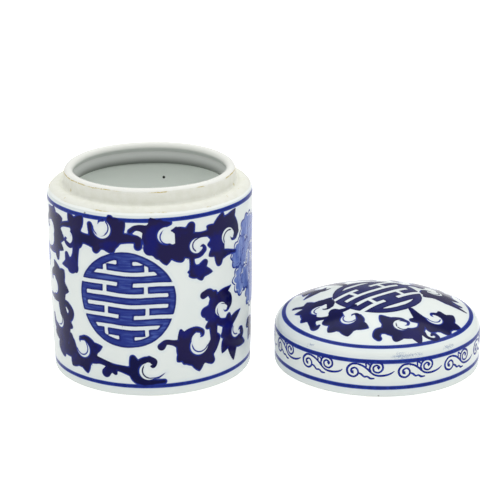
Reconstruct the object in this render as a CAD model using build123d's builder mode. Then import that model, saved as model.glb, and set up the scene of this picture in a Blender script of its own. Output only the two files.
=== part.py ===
from build123d import *
import os

# Cylindrical porcelain jar with a domed lift-off lid. Millimetres, +Z up.
# The jar stands on Z = 0 with its axis on the Z axis. The lid is off and stands
# on the same plane, to the right of the jar (+X). The front faces -Y.

# ---- jar: outside ----
BODY_R = 57.5             # widest part of the wall
WALL_STRAIGHT_Z = 84.0    # the wall is upright from here to the shoulder
WALL_LOW_R = 56.0         # wall radius just above the foot
WALL_LOW_Z = 1.4
SHOULDER_Z = 101.0        # the shoulder's rounding starts here
SEAT_R = 51.1             # crest of the shoulder, where the lid rests
SEAT_Z = 107.4
GROOVE_R = 49.3           # shallow groove between the crest and the neck
GROOVE_Z = 106.9

# ---- jar: neck ----
NECK_R = 47.9             # outside of the neck
NECK_LOW_Z = 108.6        # the cove at the neck's foot ends here
MOUTH_R = 42.6            # inside of the lip
LIP_R = (NECK_R - MOUTH_R) / 2
JAR_H = 115.7
LIP_Z = JAR_H - LIP_R     # centre of the half-round lip
UNDERCUT_R = 43.5         # the inside is hollowed just under the lip
UNDERCUT_Z = 111.1
BULGE_R = 42.3            # and swells again lower down
BULGE_Z = 107.2
NECK_UNDER_R = 43.3       # lower end of the neck's inside
NECK_UNDER_Z = 103.9

# ---- jar: inside ----
CAVITY_R = 52.3           # widest part of the cavity
CAVITY_LOW_R = 51.0       # cavity radius where the floor's rounding starts
CAVITY_LOW_Z = 13.5
CAVITY_TOP_Z = 98.6       # the cavity wall turns in under the shoulder here
CEILING_R = 48.9
CEILING_Z = 102.8
FLOOR_R = 44.0
FLOOR_Z = 6.8

# ---- jar: foot ring ----
FOOT_OUTER_R = 54.6
FOOT_INNER_R = 48.8
RECESS_R = 47.6
RECESS_Z = 2.4

# ---- lid ----
LID_X = 128.7             # the lid's axis
LID_MOUTH_R = 57.8        # outer edge of the flat mouth face
LID_SKIRT_LOW_R = 58.7
LID_SKIRT_LOW_Z = 1.2
LID_R = 58.8              # widest part of the skirt
LID_SHOULDER_Z = 20.0     # the shoulder's rounding starts here
DOME_R = 54.7             # edge of the dome
DOME_EDGE_Z = 26.6
LID_H = 39.4
LID_BORE_R = 50.0         # locating land inside the mouth, goes round the neck
LAND_LOW_Z = 0.8
LAND_TOP_Z = 7.2
SKIRT_INNER_R = 53.0      # inside of the skirt above the land
SKIRT_INNER_LOW_Z = 9.6
SKIRT_INNER_TOP_Z = 17.0
DOME_INNER_R = 48.0
DOME_INNER_EDGE_Z = 22.8
DOME_INNER_Z = 34.2

UP = (0, 1)
DOWN = (0, -1)
OUT = (1, 0)
IN = (-1, 0)


# ---- jar body: one fired piece with wall, shoulder, neck, floor and foot ring ----
with BuildPart() as jar_body:
    with BuildSketch(Plane.XZ):
        with BuildLine():
            # foot ring and outside wall
            Line((FOOT_INNER_R, 0), (FOOT_OUTER_R, 0))
            TangentArc((FOOT_OUTER_R, 0), (WALL_LOW_R, WALL_LOW_Z), tangent=OUT)
            TangentArc(
                (BODY_R, WALL_STRAIGHT_Z), (WALL_LOW_R, WALL_LOW_Z), tangent=DOWN
            )
            Line((BODY_R, WALL_STRAIGHT_Z), (BODY_R, SHOULDER_Z))
            # rounded shoulder, its crest and the groove behind it
            TangentArc((BODY_R, SHOULDER_Z), (SEAT_R, SEAT_Z), tangent=UP)
            TangentArc((SEAT_R, SEAT_Z), (GROOVE_R, GROOVE_Z), tangent=IN)
            # neck with a cove at its foot and a half-round lip
            TangentArc((NECK_R, NECK_LOW_Z), (GROOVE_R, GROOVE_Z), tangent=DOWN)
            Line((NECK_R, NECK_LOW_Z), (NECK_R, LIP_Z))
            ThreePointArc(
                (NECK_R, LIP_Z), (MOUTH_R + LIP_R, JAR_H), (MOUTH_R, LIP_Z)
            )
            # inside of the neck, hollowed under the lip and swelling below
            Line((MOUTH_R, LIP_Z), (UNDERCUT_R, UNDERCUT_Z))
            ThreePointArc(
                (UNDERCUT_R, UNDERCUT_Z), (BULGE_R, BULGE_Z), (NECK_UNDER_R, NECK_UNDER_Z)
            )
            # under the shoulder
            Line((NECK_UNDER_R, NECK_UNDER_Z), (CEILING_R, CEILING_Z))
            TangentArc((CAVITY_R, CAVITY_TOP_Z), (CEILING_R, CEILING_Z), tangent=UP)
            # cavity wall and floor
            Line((CAVITY_R, CAVITY_TOP_Z), (CAVITY_LOW_R, CAVITY_LOW_Z))
            TangentArc((FLOOR_R, FLOOR_Z), (CAVITY_LOW_R, CAVITY_LOW_Z), tangent=OUT)
            Line((FLOOR_R, FLOOR_Z), (0, FLOOR_Z))
            # axis and the recess inside the foot ring
            Line((0, FLOOR_Z), (0, RECESS_Z))
            Line((0, RECESS_Z), (RECESS_R, RECESS_Z))
            Line((RECESS_R, RECESS_Z), (FOOT_INNER_R, 0))
        make_face()
    revolve(axis=Axis.Z)
jar_body.part.label = "jar_body"


# ---- lid: one fired piece with skirt, rounded shoulder and shallow dome ----
lid_plane = Plane(origin=(LID_X, 0, 0), x_dir=(1, 0, 0), z_dir=(0, -1, 0))
lid_axis = Axis((LID_X, 0, 0), (0, 0, 1))

with BuildPart() as lid:
    with BuildSketch(lid_plane):
        with BuildLine():
            # mouth face, skirt and shoulder
            Line((LID_BORE_R + LAND_LOW_Z, 0), (LID_MOUTH_R, 0))
            TangentArc((LID_MOUTH_R, 0), (LID_SKIRT_LOW_R, LID_SKIRT_LOW_Z), tangent=OUT)
            Line((LID_SKIRT_LOW_R, LID_SKIRT_LOW_Z), (LID_R, LID_SHOULDER_Z))
            TangentArc((LID_R, LID_SHOULDER_Z), (DOME_R, DOME_EDGE_Z), tangent=UP)
            # dome
            TangentArc((0, LID_H), (DOME_R, DOME_EDGE_Z), tangent=OUT)
            Line((0, LID_H), (0, DOME_INNER_Z))
            # inside of the dome, then of the skirt
            TangentArc((0, DOME_INNER_Z), (DOME_INNER_R, DOME_INNER_EDGE_Z), tangent=OUT)
            TangentArc(
                (SKIRT_INNER_R, SKIRT_INNER_TOP_Z),
                (DOME_INNER_R, DOME_INNER_EDGE_Z),
                tangent=UP,
            )
            Line((SKIRT_INNER_R, SKIRT_INNER_TOP_Z), (SKIRT_INNER_R, SKIRT_INNER_LOW_Z))
            # locating land, with a small chamfer at the mouth
            Line((SKIRT_INNER_R, SKIRT_INNER_LOW_Z), (LID_BORE_R, LAND_TOP_Z))
            Line((LID_BORE_R, LAND_TOP_Z), (LID_BORE_R, LAND_LOW_Z))
            Line((LID_BORE_R, LAND_LOW_Z), (LID_BORE_R + LAND_LOW_Z, 0))
        make_face()
    revolve(axis=lid_axis)
lid.part.label = "lid"


os.makedirs("parts", exist_ok=True)
export_step(jar_body.part, "parts/jar_body.step")
export_step(lid.part, "parts/lid.step")
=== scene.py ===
"""A blue and white porcelain jar, standing open with its domed lid beside it.

The CAD frame gives the places. The porcelain is turned again here as fine closed meshes, so that the
painted ornament can be carried on them as distances in millimetres, and shaded as cobalt under glaze.
"""

import math

import bpy
import numpy as np
from mathutils import Matrix, Vector


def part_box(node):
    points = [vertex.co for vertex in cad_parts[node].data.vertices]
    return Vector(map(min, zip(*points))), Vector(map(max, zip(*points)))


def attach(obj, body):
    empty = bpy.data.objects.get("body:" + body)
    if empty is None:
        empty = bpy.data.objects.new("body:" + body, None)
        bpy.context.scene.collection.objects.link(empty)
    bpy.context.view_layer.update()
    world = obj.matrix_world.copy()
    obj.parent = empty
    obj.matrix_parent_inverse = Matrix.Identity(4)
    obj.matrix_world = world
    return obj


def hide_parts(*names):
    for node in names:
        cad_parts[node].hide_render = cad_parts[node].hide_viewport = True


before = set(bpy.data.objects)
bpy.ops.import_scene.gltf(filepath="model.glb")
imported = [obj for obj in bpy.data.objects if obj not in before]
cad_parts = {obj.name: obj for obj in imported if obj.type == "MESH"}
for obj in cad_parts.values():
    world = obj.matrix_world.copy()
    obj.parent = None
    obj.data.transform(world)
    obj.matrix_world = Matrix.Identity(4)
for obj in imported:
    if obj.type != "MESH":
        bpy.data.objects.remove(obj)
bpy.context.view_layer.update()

MM = 0.001                     # a millimetre in Blender's metres

# jar, in millimetres from the middle of its foot
FOOT_INNER_R, FOOT_OUTER_R = 48.8, 54.6
RECESS_R, RECESS_Z = 47.6, 2.4  # the underside within the foot ring
WALL_LOW_R, WALL_LOW_Z = 56.0, 1.4
WALL_R = 57.5                  # at the straight upper part of the wall
WALL_STRAIGHT_Z = (84.0, 101.0)
SHOULDER_R, SHOULDER_Z = 51.1, 107.4  # the crest that the lid rests on
GROOVE_R, GROOVE_Z = 49.3, 106.9  # the bottom of the groove between shoulder and neck
NECK_R, NECK_Z = 47.9, 108.6   # where the neck starts to stand straight
LIP_R, LIP_Z = 2.65, 113.05    # the half-round lip and the height of its middle
CAVITY_R, CAVITY_LOW_R = 52.3, 51.0
FLOOR_R, FLOOR_Z = 44.0, 6.8   # the flat part of the floor inside
UPPER_LINE_Z = 101.7
LOWER_LINE_Z = 6.2
LINE_SLOPE = 0.006             # both painted lines rise this much to the right
LINE_HALF = 1.2                # half the width of a painted line
PAINT_TOP_Z = 104.0            # no painting above this
GLAZE_TOP = (56.1, 105.0)      # radius and height where the wall's glaze ends
LIP_GLAZE_END = (47.7, 114.0)  # and where the lip's glaze ends
LIP_WARM_Z = (112.5, 114.5)    # the lip's glaze gets warmer over this stretch
PINHOLE = Vector((5.9, 51.9, 92.8))  # a small hole in the glaze inside, at the back
WALL_COLUMNS = 520             # mesh points round the painted wall
PLAIN_COLUMNS = 130            # and round the neck, the inside and the foot
WALL_PERIOD = math.pi * WALL_R  # the painting repeats once round the back

# painted shade in the mouth: millimetres inwards from the lip's innermost edge, and a share of the full
# painted shade grey; it darkens the lip a little, and the inside of the neck and the hollow under the
# shoulder most
MOUTH_PAINTED_SHADE = ((-9, 0), (-8, 0.04), (-3, 0.07), (-1, 0.04), (-0.3, 0.09), (0.3, 0.46), (0.9, 0.55),
              (1.5, 0.47), (2.8, 0.44), (4.1, 0.45), (5.4, 0.54), (6.6, 0.65), (7.9, 0.79), (9.5, 0.93),
              (17, 0.9), (18.7, 0.47), (20, 0.17), (21.4, 0.04), (24, 0))
# painted light, a glow that the inside gives off by itself: inside the neck, and by height in the cavity
NECK_PAINTED_LIGHT_Z, NECK_PAINTED_LIGHT = 102.0, 0.06
CAVITY_PAINTED_LIGHT = ((78, 0.075), (96, 0.015))

# lid, in millimetres from the middle of its mouth
LID_H = 39.4
BORE_R = 50.0                  # the locating land inside the mouth
HOLLOW_R = 53.0                # the skirt's inside above that land
SKIRT_R = 58.8
SKIRT_TOP_Z = 20.0
DOME_EDGE = (54.7, 26.6)       # radius and height where the rounded shoulder meets the dome
DOME_PAINT_Z = 18.0            # the dome is painted above this
DOME_RING_R = 53.4
SKIRT_LINES_Z = (5.6, 20.9)
DOME_COLUMNS = 640             # mesh points round the dome's rim
SKIRT_COLUMNS = 160
CURLS = 13                     # motifs round the skirt
CURL_WEIGHT = 2.1              # how much wider than drawn the curls are brushed
FIRST_CURL = -16.7             # the left curl of the first one, round the skirt from the front

# studio, in metres
CAMERA_AT = (0.0562, -0.9874, 0.4064)
CAMERA_DOWN, CAMERA_ROLL = 19.06, -0.29  # degrees
LENS, SENSOR = 133.2, 36.0     # the camera's, in millimetres
OVERHEAD_FROM_MIDDLE = Vector((0.2, 0.3, 2.0))
OVERHEAD_SIZE, OVERHEAD_POWER = 3.0, 34
ROOM_LIGHT = 0.57
ROOM_DIMMED = 0.18             # how much less of the room the reflections see
FLOOR_HALF, FLOOR_TOP = 4.0, -0.0002
FLOOR_GLOW = 0.22              # how strongly the floor lights the pieces from below by itself
FLOOR_SEEN = 0.5               # and how much brighter the camera sees it

jar_low, jar_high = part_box("jar_body")
lid_low, lid_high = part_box("lid")
JAR_AT = Vector(((jar_low.x + jar_high.x) / 2, (jar_low.y + jar_high.y) / 2, jar_low.z))
LID_AT = Vector(((lid_low.x + lid_high.x) / 2, (lid_low.y + lid_high.y) / 2, lid_low.z))


def add_object(name, data):
    obj = bpy.data.objects.new(name, data)
    bpy.context.scene.collection.objects.link(obj)
    return obj


# ==== turned meshes ====
class Outline:
    """A profile of (radius, height) points, closely spaced along lines and arcs."""

    def __init__(self, r, z, step):
        self.points = [np.array([[r, z]], float)]
        self.step = step

    def end(self):
        return self.points[-1][-1]

    def line(self, r, z, step=None):
        a, b = self.end(), np.array([r, z], float)
        n = max(1, round(np.hypot(*(b - a)) / (step or self.step)))
        self.points.append(a + (b - a) * np.linspace(0, 1, n + 1)[1:, None])
        return self

    def arc(self, r, z, tangent, step=None):
        """An arc to (r, z) that leaves the last point along the tangent."""
        a, d = self.end(), np.array([r, z], float) - self.end()
        t = np.array(tangent, float) / np.hypot(*tangent)
        normal = np.array([-t[1], t[0]])
        radius = d @ d / (2 * (d @ normal))
        turn = 2 * math.atan2(d @ normal, d @ t)
        n = max(2, round(abs(radius * turn) / (step or self.step)))
        w = np.linspace(0, turn, n + 1)[1:, None]
        self.points.append(a + radius * (np.sin(w) * t + (1 - np.cos(w)) * normal))
        return self

    def back_arc(self, r, z, tangent, step=None):
        """An arc to (r, z) that would leave (r, z) along the tangent, back to the last point."""
        a = self.end()
        back = Outline(r, z, step or self.step).arc(*a, tangent)
        pts = np.vstack(back.points)[::-1]
        self.points.append(np.vstack([pts[1:-1], [[r, z]]]))
        return self

    def all(self):
        return np.vstack(self.points)


UP, DOWN, OUT, IN = (0, 1), (0, -1), (1, 0), (-1, 0)


def round_rings(values, columns):
    """One value per profile point, repeated round each ring."""
    return np.concatenate([values[:1], np.repeat(values[1:-1], columns[1:-1]), values[-1:]])


def from_point(profile, r, z):
    """How far along the profile each of its points lies from the one nearest to (r, z)."""
    along = np.concatenate([[0], np.cumsum(np.hypot(*np.diff(profile, axis=0).T))])
    return along - along[np.argmin(np.hypot(profile[:, 0] - r, profile[:, 1] - z))]


def lathe(name, profile, columns, wobble, place):
    """A closed turned mesh. profile runs from the axis, round the shape, back to the axis; columns is how
    many points each ring has, and each count is a whole multiple of its neighbour's. Returns the object,
    and the angle, radius and height of every point before the wobble."""
    rings = list(zip(profile, columns))[1:-1]
    theta = [2 * math.pi * np.arange(n) / n for _, n in rings]
    start = np.cumsum([1] + [n for _, n in rings])
    faces = []

    def bridge(first, n_first, second, n_second):
        """Faces between two rings, the outline's earlier one first."""
        many, few = max(n_first, n_second), min(n_first, n_second)
        k = many // few
        if k == 1:
            j = np.arange(many)
            nxt = (j + 1) % many
            faces.append(np.stack([first + j, first + nxt, second + nxt, second + j], 1))
            return
        fine, coarse = (first, second) if n_first == many else (second, first)
        j = np.arange(few)
        a, b = coarse + j, coarse + (j + 1) % few

        def step(i):
            return [fine + k * j + i, fine + (k * j + i + 1) % many]

        strips = [np.stack([a, *step(i)], 1) for i in range(k // 2)]
        strips += [np.stack([a, fine + k * j + k // 2, b], 1)]
        strips += [np.stack([b, *step(i)], 1) for i in range(k // 2, k)]
        for strip in strips:
            faces.append(strip if n_first > n_second else strip[:, ::-1])

    n_first, n_last = rings[0][1], rings[-1][1]
    last = int(start[-1])
    j = np.arange(n_first)
    faces.append(np.stack([np.zeros_like(j), 1 + (j + 1) % n_first, 1 + j], 1))
    for i in range(len(rings) - 1):
        bridge(int(start[i]), rings[i][1], int(start[i + 1]), rings[i + 1][1])
    j = np.arange(n_last)
    ring = int(start[-2])
    faces.append(np.stack([ring + j, ring + (j + 1) % n_last, np.full_like(j, last)], 1))

    r, z = round_rings(profile[:, 0], columns), round_rings(profile[:, 1], columns)
    a = np.concatenate([[0]] + theta + [[0]])
    dr, dz = wobble(a, r, z)
    x, y = (r + dr) * np.sin(a), -(r + dr) * np.cos(a)
    verts = np.stack([x, y, z + dz], 1) * MM
    mesh = bpy.data.meshes.new(name)
    mesh.from_pydata(verts.tolist(), [], [f for group in faces for f in group.tolist()])
    mesh.shade_smooth()
    mesh.validate()
    mesh.transform(Matrix.Translation(place))
    return add_object(name, mesh), a, r, z


def carry(obj, fields):
    """Keeps the painting's distances on the mesh's points, for the material to read."""
    for name, values in fields.items():
        layer = obj.data.attributes.new(name, "FLOAT", "POINT")
        layer.data.foreach_set("value", np.asarray(values, np.float32))


def hand_thrown(a, r, z):
    """The small unevenness of a thrown and turned pot, in millimetres."""
    dr = 0.10 * np.sin(2 * a + 0.6) + 0.06 * np.sin(3 * a + z / 31) + 0.05 * np.sin(5 * a - z / 17 + 2)
    dr += 0.05 * np.sin(z / 6.5 + 0.8 * np.sin(a))
    dz = 0.08 * np.sin(2 * a + 1.9) + 0.05 * np.sin(5 * a + 0.4)
    fade = np.clip(r / 30, 0, 1)
    return dr * fade, dz * fade * np.clip(z / 10, 0, 1)


def leaning(a, r, z):
    """The same, for the jar: it also leans slightly to the right, most at the neck, and its lip is a
    little higher at the back."""
    dr, dz = hand_thrown(a, r, z)
    dz += (0.3 - 0.1 * np.cos(a)) * np.clip((z - 110) / 4, 0, 1)
    return dr + (0.15 + 0.4 * (z / 110) ** 2) * np.clip(r / 30, 0, 1) * np.sin(a), dz


# ==== painting ====
# The painted ornament is drawn as signed distances in millimetres, positive inside the paint.
# A brush stroke is a list of (x, y, half width) points with a smooth curve through them.
# On the jar x runs round the wall to the right from the front, and y is the height.

FAR = 6.0                      # distances are only followed this far
PAINTS = ("leaf", "eye", "moon", "spur", "fret", "petal", "rim", "vein", "smear")


def curve(points, steps=5):
    """A smooth curve through the points (Catmull-Rom), as an array of (x, y, half width). Two points
    give a lobe: a straight stroke that stays full and then narrows quickly to its end."""
    p = np.array(points, float)
    if len(p) == 2:
        t = np.linspace(0, 1, steps + 1)[:, None]
        return p[0] + (p[1] - p[0]) * np.hstack([t, t, t**1.5])
    p = np.vstack([2 * p[0] - p[1], p, 2 * p[-1] - p[-2]])
    t = np.linspace(0, 1, steps, endpoint=False)[:, None]
    parts = [
        0.5 * (2 * b + (c - a) * t + (2 * a - 5 * b + 4 * c - d) * t**2
               + (3 * b - a - 3 * c + d) * t**3)
        for a, b, c, d in zip(p, p[1:], p[2:], p[3:])
    ]
    return np.vstack(parts + [p[-2:-1]])


class Canvas:
    """The points to be painted, and one distance field per kind of paint."""

    def __init__(self, x, y, period=None):
        self.x, self.y, self.period = x, y, period
        self.fields = {}

    def near(self, cx, cy, reach_x, reach_y):
        """Which points lie within reach of a place, and where they are, unrolled next to it."""
        x = self.x
        if self.period:
            x = cx + (x - cx + self.period / 2) % self.period - self.period / 2
        near = np.flatnonzero((abs(x - cx) < reach_x) & (abs(self.y - cy) < reach_y))
        return near, x[near], self.y[near]

    def add(self, field, index, value):
        f = self.fields.setdefault(field, np.full(len(self.x), -FAR))
        f[index] = np.maximum(f[index], value)

    def stroke(self, field, points):
        """A brush stroke that swells and narrows with its half widths."""
        c = curve(points)
        (x0, y0), (x1, y1) = c[:, :2].min(0), c[:, :2].max(0)
        reach = c[:, 2].max() + FAR
        near, x, y = self.near((x0 + x1) / 2, (y0 + y1) / 2, (x1 - x0) / 2 + reach, (y1 - y0) / 2 + reach)
        best = np.full(len(near), -FAR)
        for (ax, ay, aw), (bx, by, bw) in zip(c, c[1:]):
            dx, dy = bx - ax, by - ay
            t = np.clip(((x - ax) * dx + (y - ay) * dy) / max(dx * dx + dy * dy, 1e-9), 0, 1)
            best = np.maximum(best, aw + (bw - aw) * t - np.hypot(x - ax - t * dx, y - ay - t * dy))
        self.add(field, near, best)

    def hook(self, cx, cy, r, opening):
        """The white eye of a curled leaf: open to one side, with a thin crescent on the other."""
        a = math.radians(opening)
        ox, oy = math.cos(a), math.sin(a)
        near, x, y = self.near(cx, cy, r + FAR, r + FAR)
        self.add("eye", near, r - np.hypot(x - cx, y - cy))
        self.stroke("eye", [(cx, cy, 0.6 * r), (cx + 1.05 * r * ox, cy + 1.05 * r * oy, 0.45 * r)])
        self.add("moon", near, r + 1.0 - np.hypot(x - cx + 1.1 * ox, y - cy + 1.1 * oy))

    def spray(self, strokes, hooks=(), tips=(), turn=0.0):
        """A leaf spray: its strokes of dark paint, the white eyes cut in it, and the small leaf tips that
        curl into the eyes."""
        ca, sa = math.cos(math.radians(turn)), math.sin(math.radians(turn))
        for field_name, drawn in (("leaf", strokes), ("spur", tips)):
            for s in drawn:
                self.stroke(field_name, [(x * ca - y * sa, x * sa + y * ca, w) for x, y, w in s])
        for cx, cy, r, opening in hooks:
            self.hook(cx * ca - cy * sa, cx * sa + cy * ca, r, opening + turn)


def lattice(canvas, cx, cy, radius, pitch, post, edge, turn=0.0):
    """A round geometric lattice: level bars in a disc, with upright spaces through them. Every second
    space is parted by a post in the middle, and one pair runs out through the disc's rim. post is half
    the post's width, and edge is the width of the rim."""
    near, x, y = canvas.near(cx, cy, radius + FAR, radius + FAR)
    x, y = x - cx, y - cy
    ca, sa = math.cos(math.radians(turn)), math.sin(math.radians(turn))
    x, y = x * ca + y * sa, y * ca - x * sa
    disc = radius + 0.25 * np.sin(5 * np.arctan2(y, x)) - np.hypot(x, y)
    x, y = x + 0.3 * np.sin(0.3 * y), y + 0.3 * np.sin(0.21 * x + 1)      # drawn by hand
    row = np.floor(abs(y) / pitch)
    bars = abs(abs(y) - (row + 0.5) * pitch) - 0.17 * pitch
    middle = np.where(row % 2 == 1, post - abs(x), -FAR)
    rim = np.where(row == 1, -FAR, edge - disc)
    # upright spaces join the level ones in pairs
    upright = 0.16 * pitch - abs(abs(x) - 0.42 * radius)
    across = 0.5 * pitch - abs(abs(y) - (2 * np.floor(row / 2) + 1) * pitch)
    space = np.minimum(np.minimum(upright, across), disc - edge)
    bars = np.minimum(np.maximum(bars, np.maximum(middle, rim)), -space)
    canvas.add("fret", near, np.minimum(bars, disc))


def jar_scroll(c):
    """Leaf scroll over one half of the wall; the canvas repeats it round the back."""
    # top left, beside the flower
    c.spray([
        [(-66, 95.5, 4), (-61, 91, 5.6), (-60, 84, 5), (-61.5, 78, 4), (-67, 74.6, 2), (-75, 73.8, 1)],
        [(-63, 94, 4), (-63.4, 101, 0.5)], [(-67, 95, 4), (-72.5, 97.6, 0.8)],
        [(-60, 93, 4.5), (-53.2, 95.7, 0.5)], [(-59, 86, 5), (-52, 84, 0.4)],
        [(-60, 80, 4), (-53, 77.8, 0.5)], [(-61, 77, 3.6), (-60, 72, 2)],
        [(-69, 94, 2.8), (-74, 91, 1.8), (-74.5, 87, 1.4)],
        [(-57, 90, 1.2), (-53, 92.6, 1.5), (-47, 94, 2)],
    ], [(-69.6, 86.3, 3.4, 185)],
       [[(-74.4, 91, 1.6), (-74.4, 87.4, 1.3), (-72.4, 86.6, 0.6)]])
    c.spray([
        [(-43, 95, 4.2), (-46.4, 99.6, 1.6)], [(-40.5, 95.5, 4.4), (-36.4, 100.8, 1.2)],
        [(-43, 95, 4), (-41, 91, 4.2), (-41.4, 85, 3.2), (-42.2, 78, 2.6), (-44, 72, 3.8)],
        [(-43, 84, 2), (-47, 82, 1.5), (-50.4, 83.4, 1.3), (-49.8, 85.2, 0.7)],
        [(-39.5, 88, 4), (-38.5, 82.6, 0.5)],
        [(-42, 89.5, 4), (-36, 88.6, 3.2), (-30, 88, 3.6)],
        [(-45, 71.5, 4.4), (-49, 70.8, 3), (-54.5, 69.4, 0.5)], [(-48.4, 71.5, 3), (-50, 76.2, 1.8)],
        [(-45, 71, 4.4), (-47.8, 67, 0.6)], [(-43, 71, 3), (-42, 68.6, 1.4)],
    ], [(-49.2, 87, 2.9, 165)],
       [[(-47, 82, 1.3), (-50.4, 83.2, 1.2), (-50.6, 85.2, 0.9), (-49.4, 85.4, 0.4)]])
    c.spray([
        [(-30, 88, 3.8), (-24, 87.8, 3.8), (-18.6, 89, 5), (-15.4, 95, 5), (-16, 99.5, 3.4)],
        [(-28.5, 89.5, 3), (-31, 97.2, 1.8)], [(-26.5, 87, 3.6), (-27.6, 83.6, 2.4)],
        [(-20, 88, 4.6), (-17.2, 83, 0.5)], [(-14, 96, 3.6), (-11.6, 100, 1.8)],
        [(-14, 91.5, 3.6), (-8, 91.6, 2.8), (-3.6, 90.6, 2.4), (-3.4, 87, 2.3)],
        [(-18, 99, 3.4), (-19, 103, 1.2)],
    ], [(-24.3, 96.6, 4.3, 125)],
       [[(-22.6, 101, 1.2), (-24.8, 100.2, 0.8), (-25.8, 98.2, 0.2)]])
    # top right
    c.spray([
        [(9, 99.4, 3), (5, 96, 4.8), (4.4, 90, 5.4), (8.5, 85.4, 5.4), (15, 84, 5)],
        [(6, 98, 3.4), (3.6, 102.4, 0.8)], [(9, 99.4, 2.6), (14, 99.8, 1.4)],
        [(4, 87, 4.6), (1.8, 83.8, 1.2)],
        [(4, 94, 3.4), (0, 97, 2.2), (-4.4, 97.6, 1.6), (-7.4, 95.6, 1.7)],
        [(11, 84, 5), (11.6, 76.4, 0.5)], [(17, 84, 5.4), (19.6, 79, 2.2)],
        [(8, 84, 4), (7.8, 80.6, 1)],
    ], [(12.6, 92.2, 3.7, -45)],
       [[(17.2, 96.4, 1.2), (18.3, 92.4, 1.9), (18.4, 88, 1.9)], [(16.6, 95.8, 1.2), (14.8, 95.4, 0.5)]])
    c.spray([
        [(15, 95.4, 0.9), (18.6, 95, 2.4), (23, 92, 4), (22.4, 87, 6)], [(24, 92, 3.4), (25.7, 97, 2.5)],
        [(18, 86, 5), (22, 87.4, 5.6), (26.4, 90.4, 3), (31, 91.2, 1.7), (37, 91.2, 2.2)],
        [(23, 84, 5), (27, 80, 2), (31, 80, 1.5), (33.4, 82.6, 1.4), (32.2, 84.4, 0.8)],
        [(25.8, 82, 2), (26, 76, 1.7), (27, 71.6, 3)],
        [(28.5, 70.8, 4), (30.6, 70.4, 3.6)], [(31, 71.6, 3), (33.6, 75, 2.1)],
        [(31, 70.4, 3.6), (38.6, 68.8, 0.4)], [(30.4, 70, 3.6), (31.8, 65.3, 0.5)],
        [(28.5, 70, 3.4), (24.6, 68.9, 1)], [(27.6, 71, 2.4), (24, 71, 1)],
    ], [(30, 85.6, 3.2, 15)],
       [[(31, 80.2, 1.5), (33.6, 82.4, 1.4), (32.6, 84.9, 0.8), (31, 84.4, 0.3)]])
    c.spray([
        [(39, 91, 4), (42.4, 89.6, 5.6), (42.2, 83, 5.2), (44.4, 77.6, 3.6), (50, 77.2, 2), (56.6, 76, 1.2)],
        [(43, 93, 4.6), (46.2, 100.6, 1)], [(49, 93, 5), (56.4, 100, 0.8)],
        [(46, 93.6, 5), (52, 94.4, 4.4), (56.4, 90.6, 2.8), (57.2, 86.6, 2.2), (54.6, 84, 0.8)],
        [(40, 92, 3.6), (35.2, 95.3, 0.5)], [(40.5, 84.4, 3.6), (35.5, 84.7, 0.4)],
        [(41, 80.6, 3.6), (36.4, 78.1, 0.5)], [(43.4, 78, 3.8), (43.3, 73, 2.4)],
    ], [(50.8, 85.6, 3.7, -50)],
       [[(58, 87, 2), (56.4, 84, 1.2), (53.6, 83.8, 0.8), (52, 85.4, 0.25)]])
    # right of the roundel
    c.spray([
        [(40, 56, 2), (38.8, 50, 3.2), (38.6, 44, 3.4), (39, 38, 3.2), (39.4, 32, 2.6)],
        [(39, 54, 2.6), (36.4, 57.4, 2.2), (32.6, 56.2, 2.2)], [(38, 46.6, 3.8), (34, 46, 3.4)],
        [(37, 44, 3.4), (34.6, 42, 1)], [(38, 39, 2.8), (35.4, 37.4, 1.9)],
        [(40, 50.4, 2.4), (45, 54, 3), (52.6, 57.2, 0.5)],
        [(45, 52.6, 4), (49.6, 50.6, 3.6), (51.4, 46.6, 1.9), (49.4, 43.8, 0.6)],
        [(40, 42.6, 2.6), (43, 38.6, 2.2), (49, 36, 3)],
    ], [(45.2, 44.9, 2.9, -40)],
       [[(51.6, 47, 1.6), (50, 43.8, 0.9), (47.6, 43.6, 0.5), (46.4, 44.8, 0.15)]])
    c.spray([
        [(50, 37, 3), (50.4, 31, 5), (54, 25, 4.8), (60.6, 22.6, 3), (65, 24.6, 2), (64, 27.6, 2.1)],
        [(50.6, 35, 3.4), (50.8, 39.8, 2)], [(52, 35, 3.2), (57, 38, 2.4), (62.4, 40.2, 0.5)],
        [(49, 30, 3.6), (45, 29.4, 0.5)], [(50, 25.6, 4.4), (46, 19.3, 0.8)],
        [(54.6, 22.4, 4.6), (55.8, 12.6, 1)], [(60, 21.8, 3.8), (68.4, 18.5, 1)],
    ], [(58.8, 30.4, 3.5, 65)],
       [[(65, 25, 2), (64, 28, 1.6), (61.8, 29, 0.8), (60.8, 27.8, 0.3)]])
    c.spray([
        [(41, 29, 3.4), (37.4, 23.4, 4), (30, 20.4, 5), (23, 23, 5.4), (20.8, 29, 4.6), (22.8, 34.6, 3.2),
         (27.6, 37.2, 1.9), (31.4, 35.6, 1.4), (31.2, 33.6, 0.9)],
        [(20, 29.4, 3.4), (15, 31, 1.8), (10.6, 31.8, 1.6), (8.1, 29.4, 2.3)],
        [(20.4, 31, 3.4), (18.9, 37.8, 1)],
        [(21, 24, 4), (17.2, 20, 0.8)], [(22.5, 22, 3.4), (21.3, 19, 1.8)],
        [(28.6, 20, 5), (29.9, 12.6, 0.8)], [(34.6, 20.6, 4), (38.2, 16.8, 2.4)],
        [(40, 30, 2.8), (39, 34, 2.4)],
    ], [(30.6, 28.6, 4.6, 60)],
       [[(28, 37.2, 1.8), (31.6, 35.6, 1.5), (32, 33.2, 1), (30.6, 32.4, 0.4)]])
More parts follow.
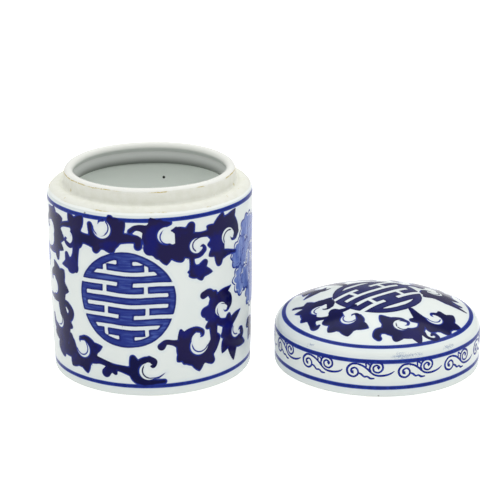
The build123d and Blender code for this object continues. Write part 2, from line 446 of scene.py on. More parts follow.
    # under the roundel
    c.spray([
        [(-6.4, 15, 4.4), (-4.8, 11.4, 4.4), (0, 8.8, 2.6), (5, 8.6, 1.9), (9.4, 8.8, 1.7)],
        [(-5.6, 15, 4), (-4.4, 19.2, 2.8), (-1, 22, 2), (2.8, 21.6, 1.8), (3.4, 19, 1.3)],
        [(-6.4, 17, 3.8), (-7.9, 22.8, 2.1)],
        [(1, 10.9, 0.4), (6, 11.3, 0.5), (10.2, 14, 0.2)],
        [(-8, 14.4, 3.2), (-14, 15.8, 2.3), (-20, 16.9, 1.9), (-27, 18.7, 1.9), (-32, 19, 3)],
        [(-21, 16.4, 2.4), (-24, 12.4, 2.8)], [(-19.6, 15, 2), (-18.2, 12.8, 1.2)],
    ], [(1.6, 15.4, 4, 20)],
       [[(1, 22.6, 1.8), (4.2, 20.8, 1.5), (3.4, 18, 1.1), (2, 18.2, 0.5)]])
    # left of the roundel
    c.spray([
        [(-49, 25, 3.4), (-47.6, 19.4, 4.8), (-40.6, 16.8, 5), (-35, 20.4, 4.6), (-33, 25.6, 3.8),
         (-36.4, 30, 2.2), (-41.4, 29.8, 1)],
        [(-33, 25, 4), (-26, 27.5, 0.5)], [(-38.6, 17, 4.8), (-36.8, 10, 0.8)],
        [(-45, 17, 4.8), (-49.2, 11.4, 0.8)], [(-49, 24, 3.2), (-49.6, 28.6, 1.8)],
        [(-56, 20, 4.4), (-50, 19, 3.6)],
    ], [(-40.2, 24.3, 3.9, 130)],
       [[(-38, 30.4, 1.8), (-41.6, 28.8, 0.9), (-41.6, 27, 0.25)]])
    c.spray([
        [(-62, 62, 5), (-57.6, 57, 5.6), (-57.6, 50, 4.6), (-57.6, 44, 4.2), (-55, 37, 4.6), (-54.6, 31, 4.8),
         (-56, 25, 4.8), (-60, 18.6, 4.2)],
        [(-60, 61, 5), (-65.7, 68, 0.8)], [(-58, 60, 5), (-53.6, 65.4, 1)],
        [(-58, 56, 5), (-49.4, 54.5, 0.5)], [(-60, 49, 4), (-67, 46.4, 2), (-74, 46.8, 0.8)],
        [(-56, 47, 1.6), (-51.4, 46.4, 2.2), (-48, 43.2, 2.6), (-49.4, 39.4, 2.6), (-53, 38.4, 2.4)],
        [(-53, 35.6, 3.6), (-48.4, 34.2, 1.4)], [(-65, 62, 3), (-69.6, 60, 1.8), (-70, 56.8, 1)],
        [(-58, 29, 4), (-64, 28.4, 3), (-69, 30.6, 2.2), (-70.5, 35, 1.4)],
        [(-60, 25, 4), (-67, 25.6, 2.4)], [(-60.6, 19, 4), (-58, 15.4, 2.2)],
    ], [(-67.4, 53.4, 3.4, 175), (-61.6, 35.4, 3.2, 115)])
    # under the flower
    c.spray([
        [(74, 29, 2), (79, 26.4, 4), (84, 20.6, 4.4), (92, 20, 2.6), (98, 24, 1.4)],
        [(79, 24.6, 4), (76, 18, 1.4)], [(84, 20, 4), (86, 12.5, 0.8)], [(79, 27, 3.4), (73, 27, 2)],
        [(86, 22, 3.6), (92, 29, 0.6)],
    ], [(86.4, 27.4, 2.8, 60)])


def peony(c, cx, cy):
    """A light flower of overlapping scalloped petals, painted from the back ones to the front ones."""
    # petals in the ring, how far they reach, half their width, where the ring starts, and their foot
    rings = ((7, 28.0, 10.5, 8.0, 6), (6, 19.0, 8.5, 40.0, 4), (4, 10.0, 5.5, 80.0, 0))
    near, x, y = c.near(cx, cy, 36 + FAR, 36 + FAR)
    x, y = x - cx, y - cy
    total = np.full(len(near), -FAR)
    top = np.full(len(near), -FAR)
    fold = np.full(len(near), -FAR)
    for count, reach, width, start, foot in rings:
        for k in range(count):
            a = math.radians(start + 360 * k / count + 6 * math.sin(5 * k + reach))
            length = reach * (1 + 0.09 * math.sin(2.3 * k + reach))
            u = x * math.cos(a) + y * math.sin(a)
            v = y * math.cos(a) - x * math.sin(a)
            middle = foot + 0.55 * (length - foot)
            t = np.clip((u - foot) / (middle - foot), 0, 1)
            spread = width * (0.35 + 0.65 * t**0.8)
            around = np.arctan2(v, u - middle)
            scallop = 0.17 * (1 - abs(np.sin(4.5 * around + k))) + 0.06 * np.sin(2 * around + k)
            scallop *= width
            body = spread - scallop - np.hypot(u - np.clip(u, foot, middle), v)
            petal = np.minimum(body, length - np.hypot(u, 0.6 * v) - scallop)
            # veins fan out from the petal's foot, and stop short of its edge
            fan = np.arctan2(v, np.maximum(u - foot + 5, 0.5))
            vein = 0.16 - abs((fan * 5.5 + 0.5) % 1 - 0.5) * np.maximum(u - foot + 5, 0) / 5.5
            vein = np.minimum(vein, np.minimum(petal - 1.6, 0.78 * length - u))
            top = np.where(petal > 0, petal, top)
            fold = np.where(petal > 0, vein, fold)
            total = np.maximum(total, petal)
    c.add("petal", near, total)
    c.add("rim", near, np.where(total > 0, top, total))
    c.add("vein", near, fold)


def lid_sprays(c):
    """Four leaf sprays on the near side, and the same again turned to the far side."""
    for turn in (0, 180):
        c.spray([
            [(-32, -4.6, 4), (-37.6, -7, 5.2), (-39.8, -14, 5), (-38.4, -21, 3.2), (-34, -23.4, 1.7),
             (-29, -24.2, 1.4)],
            [(-33, -4.4, 4), (-29, -4.2, 3), (-27.2, -8, 2.4), (-27.6, -12, 2)],
            [(-31, -4.4, 3.4), (-26.6, -0.6, 1)], [(-38.6, -5, 4), (-40, 1.8, 0.6)],
            [(-40, -4.6, 3), (-44.4, -2.6, 1.7), (-47.2, -1, 1.8)], [(-40, -10, 4.6), (-46.8, -9, 0.9)],
            [(-40, -18, 4), (-43.6, -20.8, 1.2)],
            [(-38.2, -21, 3), (-38, -27, 1.9), (-36.8, -31, 2.2), (-34.6, -29.6, 1.1)],
        ], [(-33, -14, 3.4, -30)], [
            [(-27.6, -11, 1.8), (-28.6, -14, 1.2), (-31, -14.2, 0.7), (-32, -13, 0.2)]], turn)
        c.spray([
            [(-25, -22, 4), (-25, -28, 5.4), (-21.6, -34.4, 5.2), (-15.4, -35.6, 4.4), (-11.8, -31.6, 2.8),
             (-12.4, -27.6, 2)],
            [(-24, -20.6, 2.6), (-19.4, -19.2, 1.7), (-14, -16, 1.5)], [(-25.4, -21, 3.6), (-26, -18.4, 2.2)],
            [(-27, -28, 4.8), (-32, -28.8, 0.9)], [(-24.6, -33, 4.8), (-29.2, -37, 1)],
            [(-19.5, -36, 5), (-19.2, -43, 0.8)], [(-14, -35, 4.6), (-7.7, -38.8, 0.7)],
        ], [(-17.4, -28.4, 3.3, 50)], [
            [(-12.4, -28, 1.8), (-13.6, -25.4, 1.1), (-15.8, -25.6, 0.6), (-16.2, -27, 0.2)]], turn)
        c.spray([
            [(3.4, -32.6, 3.4), (4, -37, 4.4), (3.4, -41, 3.8), (10, -42.4, 4.4), (17, -41.6, 4),
             (21.4, -37.4, 2.6), (22.4, -31.6, 2.2)],
            [(3, -34, 4), (0, -28.8, 1.3)],
            [(4.4, -33, 3), (8, -31.2, 1.8), (11.8, -31.6, 1.6), (13.4, -34, 0.9)],
            [(2, -41, 3), (-2, -41.8, 2.8), (-3.4, -45.2, 2.5), (-2.4, -47.4, 2)],
            [(9, -43, 4.2), (7, -47.6, 2)], [(17.6, -42, 3.8), (19.8, -47.2, 1.7)],
            [(22, -39.6, 1.8), (24.4, -43, 1.1), (28.6, -43.6, 1.2), (30.6, -41.2, 1.4), (28.4, -39.4, 1.3),
             (27, -41, 0.7)],
        ], [(11.6, -36, 3.2, 5)], [
            [(11.8, -31.6, 1.4), (14.6, -33, 1.1), (14.4, -35.4, 0.7), (12.8, -36.2, 0.2)]], turn)
        c.spray([
            [(17.4, -19.4, 1.6), (20, -25, 2.8), (23.6, -30, 4.4), (30, -32, 5.2), (36, -29, 5),
             (38, -23, 3.8), (34.6, -19.4, 2.6), (31, -20.6, 1.2)],
            [(38, -23, 4), (41.2, -16.6, 1)], [(35, -20.4, 3), (34, -16.8, 1.4)],
            [(37.6, -27, 5), (44.8, -27, 0.6)], [(33.6, -31.6, 5), (37.4, -36.6, 1)],
            [(28, -33, 4.8), (27, -37, 1.8)], [(22.4, -30, 3), (17.3, -30.8, 2)],
        ], [(29.4, -24.6, 3.6, 120)], [
            [(33, -19.8, 1.8), (29.4, -20.4, 1.2), (28.6, -22.6, 0.7), (29.8, -23.6, 0.2)]], turn)
    # and some leaves at the far left and right
    c.spray([
        [(28, 8, 3.4), (34, 5, 4.4), (40, 0.4, 3.6)], [(40, 0, 3), (45, -2.2, 2.2), (50, -5, 0.8)],
        [(-33, 20, 3), (-38.5, 21.5, 2.4), (-44.5, 25.5, 0.6)],
        [(-32, 19, 3.6), (-36.5, 14.5, 3), (-41.5, 9, 0.8)],
        [(-33, 18, 2.4), (-30, 16, 1.8), (-26.5, 17.4, 0.8)],
    ])


# smears of cobalt left on the lid's rounded shoulder
LID_SMEARS = (
    [(4, -57.7, 0.3), (9, -57.2, 0.8), (15, -55.9, 0.5), (21, -54, 0.2)], [(7, -56.4, 0.4), (12, -55.6, 0.3)],
    [(33, -47.2, 0.3), (36, -44.9, 0.7), (39, -42.3, 0.3)], [(-41, -40.5, 0.3), (-38, -43, 0.4)],
)


def curl_motif(turn, lift):
    """One motif of the running curls round the skirt, as strokes, from x = 0 at its left curl."""
    left = [(2, 18.9, 0.34), (-1.2, 18.5, 0.36), (-3.6, 15.7, 0.4), (-2.9, 12.4, 0.38), (0, 11.2, 0.34),
            (2.3, 12.7, 0.34), (2.4, 15, 0.32), (0.8, 16.5, 0.32), (-1.2, 15.5, 0.34), (-1, 13.9, 0.45),
            (0.1, 13.9, 0.62)]
    right = [(9.5, 14.3, 0.32), (8.9, 16.6, 0.32), (10.2, 19.3, 0.36), (13, 20.1, 0.38), (15.7, 18.4, 0.36),
             (15.9, 15.6, 0.34), (13.8, 13.8, 0.32), (11.3, 14.6, 0.32), (10.9, 16.9, 0.32),
             (12.6, 18.1, 0.32), (14.1, 17, 0.4), (13.2, 16.2, 0.55)]
    link = [(2, 18.9, 0.34), (5, 17.8, 0.36), (7.5, 16, 0.34), (9.5, 14, 0.32), (11.6, 12.5, 0.34),
            (14.6, 11.9, 0.38), (18, 12.2, 0.36), (20.6, 13.1, 0.28), (22.4 + turn, 14.3, 0.12)]
    petal = [(7, 17.1, 0.26), (6.9, 19.6, 0.3), (8.4, 18.7, 0.28), (9.4, 17.6, 0.26), (8.6, 15.8, 0.24)]
    tail = [(2.4, 13.6, 0.26), (4.2, 12.9, 0.36), (5.9, 11.4, 0.34), (7.7, 11.5, 0.32), (9.4, 10.4, 0.36),
            (11.6, 10.4, 0.22)]
    strokes = [left, right, link, petal, tail]
    return [[(x, y + lift * (0.4 + 0.05 * x), w) for x, y, w in s] for s in strokes]


# ==== node arithmetic ====
class Num:
    """A number in a material, so that a pattern can be written as an ordinary sum."""

    tree = None

    def __init__(self, socket):
        self.socket = socket

    @staticmethod
    def math(op, *args):
        node = Num.tree.nodes.new("ShaderNodeMath")
        node.operation = op
        for i, a in enumerate(args):
            Num.plug(a, node.inputs[i])
        return Num(node.outputs[0])

    @staticmethod
    def plug(value, socket):
        if isinstance(value, Num):
            Num.tree.links.new(value.socket, socket)
        elif hasattr(value, "is_output"):
            Num.tree.links.new(value, socket)
        else:
            socket.default_value = value

    def __add__(self, o):
        return Num.math("ADD", self, o)

    def __sub__(self, o):
        return Num.math("SUBTRACT", self, o)

    def __rsub__(self, o):
        return Num.math("SUBTRACT", o, self)

    def __mul__(self, o):
        return Num.math("MULTIPLY", self, o)

    def __neg__(self):
        return self * -1.0

    def __abs__(self):
        return Num.math("ABSOLUTE", self)

    __radd__ = __add__
    __rmul__ = __mul__


def low(*args):
    out = args[0]
    for a in args[1:]:
        out = Num.math("MINIMUM", out, a)
    return out


def high(*args):
    out = args[0]
    for a in args[1:]:
        out = Num.math("MAXIMUM", out, a)
    return out


def rise(value, start, end):
    """0 up to start and 1 from end, smooth between."""
    node = Num.tree.nodes.new("ShaderNodeMapRange")
    node.interpolation_type = "SMOOTHSTEP"
    Num.plug(value, node.inputs["Value"])
    Num.plug(start, node.inputs["From Min"])
    Num.plug(end, node.inputs["From Max"])
    return Num(node.outputs["Result"])


def field(name):
    """One of the painting's distances, or another value that the mesh's points carry."""
    node = Num.tree.nodes.new("ShaderNodeAttribute")
    node.attribute_name = name
    return Num(node.outputs["Fac"])


def noise(where, scale, detail=2.0, stretch=(1, 1, 1), shift=0.0):
    """Noise about 0.5; scale is in features per metre."""
    place = Num.tree.nodes.new("ShaderNodeMapping")
    place.inputs["Scale"].default_value = stretch
    place.inputs["Location"].default_value = (shift, shift * 0.7, -shift)
    Num.tree.links.new(where, place.inputs["Vector"])
    node = Num.tree.nodes.new("ShaderNodeTexNoise")
    node.inputs["Scale"].default_value = scale
    node.inputs["Detail"].default_value = detail
    Num.tree.links.new(place.outputs[0], node.inputs["Vector"])
    return Num(node.outputs["Fac"])


def srgb(*rgb):
    """A colour given as 0 to 255 screen values."""
    c = [v / 255 for v in rgb]
    return tuple(v / 12.92 if v <= 0.04045 else ((v + 0.055) / 1.055) ** 2.4 for v in c) + (1.0,)


def mix(fac, a, b):
    """The colour a where fac is 0, and b where it is 1."""
    node = Num.tree.nodes.new("ShaderNodeMix")
    node.data_type = "RGBA"
    Num.plug(fac, node.inputs[0])
    Num.plug(a, node.inputs[6])
    Num.plug(b, node.inputs[7])
    return node.outputs[2]


def vector_math(operation, vector, constant):
    node = Num.tree.nodes.new("ShaderNodeVectorMath")
    node.operation = operation
    node.inputs[1].default_value = constant
    Num.tree.links.new(vector, node.inputs[0])
    return node


# ==== materials ====
GLAZE = srgb(235, 241, 237)
GLAZE_SHADE = srgb(224, 233, 230)
GLAZE_BLOOM = srgb(194, 210, 232)  # close to the painting
# the glaze off the painted wall, mostly inside: its own colour, painted paler than the wall's as painted
# light that brightens the hollow
INSIDE_GLAZE_WITH_PAINTED_LIGHT = srgb(247, 251, 247)
LIP_GLAZE = srgb(247, 248, 242)
BISCUIT = srgb(236, 237, 228)
BISCUIT_SHADE = srgb(231, 232, 221)
BISCUIT_GRAIN = srgb(216, 214, 200)
CRACK = srgb(196, 178, 104)
SPECK = srgb(60, 56, 52)
PIT = srgb(24, 20, 18)
# the grey of the painted shade in the mouth
PAINTED_SHADE_GREY = srgb(70, 74, 70)
PALE_COBALT = srgb(70, 92, 168)
COBALT = srgb(34, 50, 134)
COBALT_POOL = srgb(18, 30, 110)
COBALT_LINE = srgb(20, 34, 128)
COBALT_SMEAR = srgb(84, 116, 168)
LINE_BLUE = srgb(36, 60, 156)
ROYAL = srgb(10, 16, 106)
RIM_BLUE = srgb(30, 50, 148)
INK_BLUE = srgb(0, 2, 66)
INK_VIOLET = srgb(26, 20, 72)
WASH = srgb(82, 106, 182)
WASH_THIN = srgb(134, 154, 210)
EDGE = 0.16                    # how softly the cobalt bleeds into the glaze, in millimetres


def new_material(name):
    """A material that the next nodes go into, its shader, and the place of each point in metres."""
    mat = bpy.data.materials.new(name)
    mat.use_nodes = True
    Num.tree = mat.node_tree
    where = Num.tree.nodes.new("ShaderNodeTexCoord").outputs["Object"]
    return mat, Num.tree.nodes["Principled BSDF"], where


class Patterns:
    """The noise that the glaze and the different kinds of painting share."""

    def __init__(self, where):
        self.where = where
        self.tremble = (noise(where, 90, 3) - 0.5) * 0.5
        self.streaks = noise(where, 420, 3, (1, 1, 0.25))
        self.brushed = noise(where, 300, 3, (0.35, 0.35, 2.6), shift=2.0)
        self.blotches = noise(where, 55, 3, shift=3.0)
        self.patches = noise(where, 22, 2, shift=7.0)
        self.grain = noise(where, 1500, 2)


def line_distance(pattern, place, lines, slope, ring):
    """How far inside one of the lines round the piece a point is."""
    x, y, z = place
    half = LINE_HALF + pattern.tremble * 0.6
    distances = [half - abs(z - x * slope - height) for height in lines]
    if ring:
        distances.append(half - abs(Num.math("SQRT", x * x + y * y) - ring))
    return high(*distances)


def paint_flower(colour, petal, pattern):
    """The flower: a pale wash, darker towards the petals' rims, with white spared just inside some."""
    rim = field("rim")
    wash = mix(rise(pattern.streaks, 0.3, 0.75), WASH, WASH_THIN)
    wash = mix(rise(rim, 2.4, 0.2) * 0.55, wash, PALE_COBALT)
    wash = mix(rise(0.55 - abs(rim - 0.3), -0.25, 0.15) * 0.95, wash, COBALT)
    spared = rise(0.5 - abs(rim - 1.5), -0.1, 0.15) * rise(noise(pattern.where, 110, 1, shift=4.0), 0.5, 0.54)
    wash = mix(spared * 0.85, wash, GLAZE)
    wash = mix(rise(field("vein"), -0.25, 0.1) * 0.6, wash, COBALT)
    return mix(rise(petal, -EDGE, EDGE), colour, wash)


def paint_fret(colour, fret, pattern, dark):
    """The lattice: a brushed middle blue with darker pooled edges."""
    body = mix(rise(pattern.brushed + pattern.blotches * 0.5, 0.62, 1.0), COBALT, PALE_COBALT)
    body = mix(rise(fret, 1.5, 0.6) * 0.9, body, COBALT_POOL)
    if dark:
        body = mix(0.75, body, INK_VIOLET)
    return mix(rise(fret, -EDGE, EDGE), colour, body)


def paint_lines(colour, line, pattern):
    """The lines round the piece: darker where the brush left more."""
    body = mix(rise(line + (pattern.streaks - 0.5) * 1.5, 0.3, 1.0) * 0.8, LINE_BLUE, COBALT_POOL)
    return mix(rise(line, -EDGE, EDGE), colour, body)


def paint_leaves(colour, ink, pattern, dark):
    """The leaves: blue-black and violet-black in patches, with a clearer blue where the colour is thin."""
    body = mix(rise(pattern.patches, 0.43, 0.53), INK_VIOLET, INK_BLUE)
    body = mix(rise(pattern.blotches, 0.50, 0.64) * (0.35 if dark else 0.9), body, ROYAL)
    thin = rise(ink + (pattern.streaks - 0.5) * 0.6, 1.1, 0.3) * rise(noise(pattern.where, 75, 2), 0.36, 0.56)
    body = mix(thin, body, RIM_BLUE)
    return mix(rise(ink, -EDGE, EDGE), colour, body)


def bare_biscuit(colour, bare, pattern):
    """Unglazed clay, grained and specked, with a broken yellowish line where the glaze ends."""
    where = pattern.where
    clay = mix(rise(noise(where, 260, 4), 0.35, 0.7), BISCUIT, BISCUIT_SHADE)
    clay = mix(rise(pattern.grain, 0.55, 0.8) * 0.2, clay, BISCUIT_GRAIN)
    clay = mix(rise(noise(where, 330, 0, shift=14.0), 0.80, 0.84) * 0.45, clay, CRACK)
    colour = mix(rise(bare, -0.1, 0.1), colour, clay)
    crack = rise(0.28 - abs(bare - 0.1), -0.15, 0.15)
    crack = crack * rise(noise(where, 46, 3, shift=9.0), 0.48, 0.56) * rise(noise(where, 900, 1), 0.3, 0.5)
    return mix(crack * 0.95, colour, CRACK)


def porcelain(name, at, lines, slope=0.0, ring=None, dark=False, pinhole=None):
    """Glazed porcelain with cobalt painting under the glaze, and bare biscuit where the glaze stops.
    lines are heights of painted lines, which rise to the right by slope, and ring is a radius of one, in
    millimetres from at. dark is for denser cobalt. pinhole is the place of a hole in the glaze of a
    piece whose inside also gets painted light: it glows by itself, by its painted_inner_light values."""
    mat, shader, where = new_material(name)
    pattern = Patterns(where)
    local = vector_math("SUBTRACT", where, at).outputs[0]
    split = Num.tree.nodes.new("ShaderNodeSeparateXYZ")
    Num.tree.links.new(local, split.inputs[0])
    place = [Num(split.outputs[i]) * 1000.0 for i in range(3)]

    # where the cobalt is: painting never reaches the inside
    outside = field("outside")
    tremble = pattern.tremble
    leaf = low(field("leaf") + tremble, outside)
    eye = field("eye") + tremble * 0.5
    white = high(eye, low(field("moon"), -(eye + 0.8)))
    ink = high(low(leaf, -white), low(field("spur") + tremble * 0.5, outside))
    fret = field("fret") + tremble * 0.7 + (noise(where, 300, 2) - 0.5) * 0.25
    line = low(line_distance(pattern, place, lines, slope, ring), outside)
    petal = field("petal") + tremble * 0.5

    # the glaze: faintly mottled, with a bluish bloom round the painting
    colour = mix(rise(pattern.blotches, 0.35, 0.7) * 0.3, GLAZE, GLAZE_SHADE)
    # off the painted wall, and so inside, the glaze is painted paler: painted light that brightens the hollow
    colour = mix(rise(outside, 1, -1), colour, INSIDE_GLAZE_WITH_PAINTED_LIGHT)
    colour = mix(rise(place[2], *LIP_WARM_Z), colour, LIP_GLAZE)
    colour = mix(rise(high(ink, fret, line, petal), -2.6, 0.3) * 0.24, colour, GLAZE_BLOOM)
    colour = paint_flower(colour, petal, pattern)
    colour = paint_fret(colour, fret, pattern, dark)
    colour = paint_lines(colour, line, pattern)
    colour = paint_leaves(colour, ink, pattern, dark)
    # smears of cobalt, painted shade in the mouth, and a few iron specks in the glaze
    smear = rise(field("smear") + pattern.brushed * 1.5 + pattern.grain * 3.0, 2.0, 3.3)
    colour = mix(smear * 0.6, colour, COBALT_SMEAR)
    colour = mix(field("painted_shade"), colour, PAINTED_SHADE_GREY)
    colour = mix(rise(noise(where, 500, 0, shift=11.0), 0.875, 0.89) * 0.6, colour, SPECK)
    if pinhole:
        away = Num(vector_math("DISTANCE", local, pinhole).outputs["Value"]) * 1000.0
        colour = mix(rise(away, 1.0, 0.6), colour, PIT)
    ragged = (noise(where, 60, 3, shift=5.0) - 0.5) * 1.4 + (noise(where, 520, 2) - 0.5) * 0.4
    bare = field("bare") + ragged
    colour = bare_biscuit(colour, bare, pattern)
    dry = rise(bare, -0.1, 0.2)

    Num.plug(colour, shader.inputs["Base Color"])
    # painted light: the inside glows by itself, as strongly as its painted_inner_light values say
    if pinhole:
        Num.plug(colour, shader.inputs["Emission Color"])
        Num.plug(field("painted_inner_light"), shader.inputs["Emission Strength"])
    Num.plug(0.10 + 0.05 * pattern.blotches + dry * 0.5, shader.inputs["Roughness"])
    Num.plug(0.12 - dry * 0.06, shader.inputs["Specular IOR Level"])
    bump = Num.tree.nodes.new("ShaderNodeBump")
    bump.inputs["Distance"].default_value = 0.0002
    bump.inputs["Strength"].default_value = 0.6
    Num.plug(noise(where, 48, 2) * 0.6 + pattern.grain * dry * 0.12, bump.inputs["Height"])
    Num.tree.links.new(bump.outputs[0], shader.inputs["Normal"])
    return mat


def cobalt_line(name):
    """Cobalt drawn with a fine brush, thinner in places."""
    mat, shader, where = new_material(name)
    Num.plug(mix(rise(noise(where, 260, 3), 0.4, 0.7), COBALT_LINE, LINE_BLUE), shader.inputs["Base Color"])
    shader.inputs["Roughness"].default_value = 0.12
    shader.inputs["Specular IOR Level"].default_value = 0.12
    return mat


def white_floor(name):
    """Plain white, and bright enough to the camera to stay white where the pieces shade it."""
    mat, shader, _ = new_material(name)
    shader.inputs["Base Color"].default_value = (0.93, 0.93, 0.93, 1)
    shader.inputs["Roughness"].default_value = 0.9
    shader.inputs["Emission Color"].default_value = (1, 1, 1, 1)
    seen = Num(Num.tree.nodes.new("ShaderNodeLightPath").outputs["Is Camera Ray"])
    Num.plug(seen * FLOOR_SEEN + FLOOR_GLOW, shader.inputs["Emission Strength"])
    return mat


# ==== pieces ====
def painted_fields(canvas, points, count, outer):
    """The canvas's distances spread over all of a mesh's points, and which points are on the outside."""
    fields = {name: np.full(count, -FAR) for name in PAINTS}
    for name, values in canvas.fields.items():
        fields[name][points] = values
    fields["outside"] = np.where(outer, FAR, -FAR)
    return fields


def build_jar():
    # the underside, the foot ring, and the wall up to the shoulder's crest
    p = Outline(0, RECESS_Z, 2.2)
    p.line(RECESS_R, RECESS_Z).line(FOOT_INNER_R, 0.3, 0.5).line(FOOT_INNER_R + 0.4, 0, 0.4)
    p.line(FOOT_OUTER_R, 0, 0.8)
    foot_points = len(p.all())
    p.arc(WALL_LOW_R, WALL_LOW_Z, OUT, 0.3)
    wall_points = len(p.all())
    p.back_arc(WALL_R, WALL_STRAIGHT_Z[0], DOWN, 0.7).line(WALL_R, WALL_STRAIGHT_Z[1], 0.7)
    p.arc(SHOULDER_R, SHOULDER_Z, UP, 0.5)
    shoulder_points = len(p.all())
    # the groove, the upright neck and its half-round lip
    p.arc(GROOVE_R, GROOVE_Z, IN, 0.4).back_arc(NECK_R, NECK_Z, DOWN, 0.35).line(NECK_R, LIP_Z, 0.6)
    p.arc(NECK_R - LIP_R, LIP_Z + LIP_R, UP, 0.6).arc(NECK_R - 2 * LIP_R, LIP_Z, IN, 0.6)
    lip_points = len(p.all())
    # inside of the neck, hollowed under the lip and swelling below
    p.arc(43.5, 111.1, DOWN, 0.35).arc(42.3, 107.2, (-0.5, -1), 0.45).arc(43.3, 103.9, DOWN, 0.45)
    # the cavity, from under the shoulder down to the floor
    p.line(48.9, 102.8, 1.2).back_arc(CAVITY_R, 98.6, UP, 0.8).line(CAVITY_LOW_R, FLOOR_Z + 6.7, 4.2)
    p.back_arc(FLOOR_R, FLOOR_Z, OUT, 1.2).line(0, FLOOR_Z, 2.4)
    profile = p.all()
    radius, height = profile.T
    index = np.arange(len(profile))
    below_shoulder = (index < shoulder_points) & (height < PAINT_TOP_Z)
    columns = np.where(below_shoulder & (index >= wall_points), WALL_COLUMNS, PLAIN_COLUMNS)
    jar, a, r, z = lathe("porcelain_jar", profile, columns, leaning, JAR_AT)

    outer = round_rings(below_shoulder & (index >= foot_points), columns)
    wall = np.flatnonzero(outer)
    around = np.where(a > math.pi, a - 2 * math.pi, a) * WALL_R
    c = Canvas(around[wall], z[wall], WALL_PERIOD)
    jar_scroll(c)
    lattice(c, -11, 56, radius=27.6, pitch=6.2, post=4.4, edge=4.2)
    peony(c, 79, 67)
    fields = painted_fields(c, wall, len(r), outer)
    # bare biscuit: from the shoulder's rounding up to under the lip, and the ring the jar stands on
    neck = np.minimum(from_point(profile, *GLAZE_TOP), -from_point(profile, *LIP_GLAZE_END))
    ring = np.minimum(from_point(profile, FOOT_INNER_R - 0.3, 0.8),
                      -from_point(profile, FOOT_OUTER_R + 0.2, 0))
    fields["bare"] = np.clip(round_rings(np.maximum(neck, ring), columns), -FAR, FAR)
    # painted shade: the mouth is darkened by its distance in from the lip, where the neck and shoulder shade
    # it
    inwards = from_point(profile, NECK_R - 2 * LIP_R, LIP_Z)
    fields["painted_shade"] = round_rings(np.interp(inwards, *zip(*MOUTH_PAINTED_SHADE)) * (radius > 0), columns)
    # painted light: the inside of the neck and of the cavity glow by themselves, most low in the cavity
    painted_inner_light = np.where(height > NECK_PAINTED_LIGHT_Z, NECK_PAINTED_LIGHT, np.interp(height, *zip(*CAVITY_PAINTED_LIGHT)))
    fields["painted_inner_light"] = round_rings(painted_inner_light * (index >= lip_points), columns)
    carry(jar, fields)
    lines = (LOWER_LINE_Z, UPPER_LINE_Z)
    jar.data.materials.append(porcelain("jar_porcelain", JAR_AT, lines, LINE_SLOPE, pinhole=PINHOLE * MM))
    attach(jar, "jar")
    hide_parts("jar_body")


def build_lid():
    # the hollow inside, down to the locating land and the mouth
    p = Outline(0, 34.2, 2.2)
    p.arc(48.0, 22.8, OUT).back_arc(HOLLOW_R, 17.0, UP, 0.9).line(HOLLOW_R, 9.6, 1.6).line(BORE_R, 7.2, 1.0)
    p.line(BORE_R, 0.9, 1.2).line(BORE_R + 0.9, 0, 0.5)
    mouth_points = len(p.all())
    # the mouth's flat face and the skirt
    p.line(SKIRT_R - 1.0, 0, 1.0).arc(SKIRT_R - 0.1, 1.2, OUT, 0.4).line(SKIRT_R, SKIRT_TOP_Z, 0.8)
    skirt_points = len(p.all())
    # the rounded shoulder and the dome
    p.arc(*DOME_EDGE, UP, 0.5).back_arc(0, LID_H, OUT, 0.5)
    profile = p.all()
    radius = profile[:, 0]
    index = np.arange(len(profile))
    dome_columns = np.select([radius > 30, radius > 15], [DOME_COLUMNS, DOME_COLUMNS // 2], DOME_COLUMNS // 4)
    columns = np.where(index < skirt_points, SKIRT_COLUMNS, dome_columns)
    lid, a, r, z = lathe("porcelain_lid", profile, columns, hand_thrown, LID_AT)

    outer = round_rings(index > mouth_points, columns)
    dome = np.flatnonzero(outer & (z > DOME_PAINT_Z))
    c = Canvas((r * np.sin(a))[dome], (-r * np.cos(a))[dome])
    lid_sprays(c)
    for smear in LID_SMEARS:
        c.stroke("smear", smear)
    lattice(c, -0.4, 0, radius=25.5, pitch=7.6, post=4.6, edge=4.6, turn=40)
    fields = painted_fields(c, dome, len(r), outer)
    # bare biscuit on the mouth's face
    rim = np.minimum(from_point(profile, BORE_R, 6.9), -from_point(profile, SKIRT_R - 0.8, 0))
    fields["bare"] = np.clip(round_rings(rim, columns), -FAR, FAR)
    carry(lid, fields)
    lid.data.materials.append(porcelain("lid_porcelain", LID_AT, SKIRT_LINES_Z, ring=DOME_RING_R, dark=True))
    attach(lid, "lid")
    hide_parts("lid")


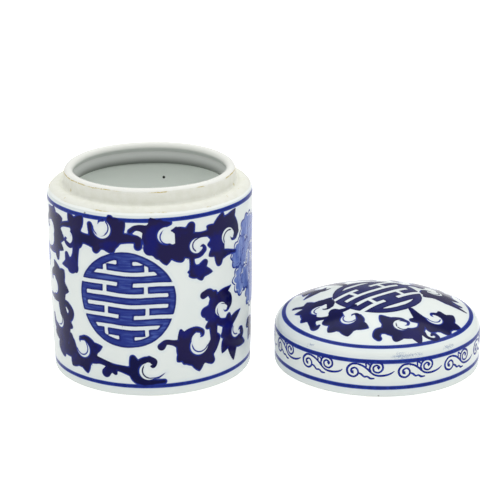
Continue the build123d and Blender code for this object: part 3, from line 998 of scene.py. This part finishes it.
def build_curls():
    """The running curls round the skirt: fine flat ribbons of cobalt let into the glaze."""
    outline_z, outline_r = (1.2, 20.0, 21.0, 22.0), (58.7, 58.8, 58.73, 58.52)
    # across the ribbon and out of the glaze, in half widths and in millimetres
    section = ((-1, -0.2), (-0.75, 0.035), (0, 0.05), (0.75, 0.035), (1, -0.2), (0, -0.3))
    verts, faces = [], []
    for motif in range(CURLS):
        begin = FIRST_CURL + motif * 2 * math.pi * SKIRT_R / CURLS
        for stroke in curl_motif(0.6 * math.sin(3.1 * motif), 0.8 * math.sin(1.7 * motif + 1)):
            c = curve(stroke, 4)
            along = np.gradient(c[:, :2], axis=0)
            along /= np.hypot(*along.T)[:, None]
            base = sum(len(v) for v in verts)
            for across, out in section:
                reach = across * CURL_WEIGHT * c[:, 2]
                s = begin + c[:, 0] - along[:, 1] * reach
                z = c[:, 1] + along[:, 0] * reach
                angle, r = s / SKIRT_R, np.interp(z, outline_z, outline_r)
                dr, dz = hand_thrown(angle % (2 * math.pi), r, z)
                r = r + dr + out
                verts.append(np.stack([r * np.sin(angle), -r * np.cos(angle), z + dz], 1))
            n, m = len(c), len(section)
            for j in range(m):
                here, there = base + j * n, base + (j + 1) % m * n
                faces += [(there + i, there + i + 1, here + i + 1, here + i) for i in range(n - 1)]
            faces.append([base + j * n for j in range(m)])
            faces.append([base + j * n + n - 1 for j in reversed(range(m))])
    mesh = bpy.data.meshes.new("lid_curls")
    mesh.from_pydata((np.vstack(verts) * MM).tolist(), [], faces)
    mesh.shade_smooth()
    mesh.transform(Matrix.Translation(LID_AT))
    curls = add_object("lid_curls", mesh)
    mesh.materials.append(cobalt_line("cobalt_line"))
    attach(curls, "lid")


# ==== studio ====
def build_floor():
    mesh = bpy.data.meshes.new("floor")
    corners = [(x * FLOOR_HALF, y * FLOOR_HALF, FLOOR_TOP) for x, y in ((-1, -1), (1, -1), (1, 1), (-1, 1))]
    mesh.from_pydata(corners, [], [(0, 1, 2, 3)])
    mesh.materials.append(white_floor("floor_white"))
    add_object("floor", mesh)


def build_lights():
    """Light from a wide lamp straight above, and from the whole room."""
    lamp = bpy.data.lights.new("overhead", "AREA")
    lamp.size = OVERHEAD_SIZE
    lamp.energy = OVERHEAD_POWER
    add_object("overhead", lamp).location = (JAR_AT + LID_AT) / 2 + OVERHEAD_FROM_MIDDLE
    world = bpy.data.worlds.new("studio")
    bpy.context.scene.world = world
    world.use_nodes = True
    background = world.node_tree.nodes["Background"]
    background.inputs["Color"].default_value = (1, 1, 1, 1)
    # reflections see a dimmer room than the one that lights the porcelain
    Num.tree = world.node_tree
    reflected = Num(Num.tree.nodes.new("ShaderNodeLightPath").outputs["Is Glossy Ray"])
    Num.plug(ROOM_LIGHT - reflected * ROOM_DIMMED, background.inputs["Strength"])


def build_camera():
    camera = bpy.data.cameras.new("camera")
    camera.lens = LENS
    camera.sensor_width = SENSOR
    view = add_object("camera", camera)
    view.location = CAMERA_AT
    tilt = Matrix.Rotation(math.radians(90 - CAMERA_DOWN), 3, "X")
    view.rotation_euler = (tilt @ Matrix.Rotation(math.radians(CAMERA_ROLL), 3, "Z")).to_euler()
    bpy.context.scene.camera = view
    bpy.context.scene.view_settings.view_transform = "Standard"


build_jar()
build_lid()
build_curls()
build_floor()
build_lights()
build_camera()
